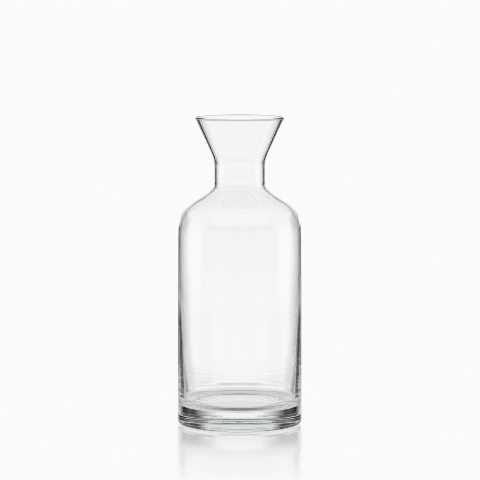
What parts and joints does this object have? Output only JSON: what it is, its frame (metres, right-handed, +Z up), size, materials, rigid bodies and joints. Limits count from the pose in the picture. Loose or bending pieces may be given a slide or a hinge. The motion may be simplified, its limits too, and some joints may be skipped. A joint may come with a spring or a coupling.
{
  "type": "water carafe",
  "caption": "Clear glass water carafe: round straight-sided body on a thick base, rounded shoulder, short narrow neck and wide flared mouth.",
  "frame": {"origin": "centre of the ring that the carafe stands on", "axes": "+Z up along the axis of the body and neck; X and Y are alike, because the carafe is round"},
  "size_m": [0.0974, 0.0974, 0.2418],
  "materials": {
    "clear_glass": "smooth, fire-polished clear soda-lime glass"
  },
  "bodies": {
    "root": {"glass_body": "clear_glass"}
  },
  "joints": []
}
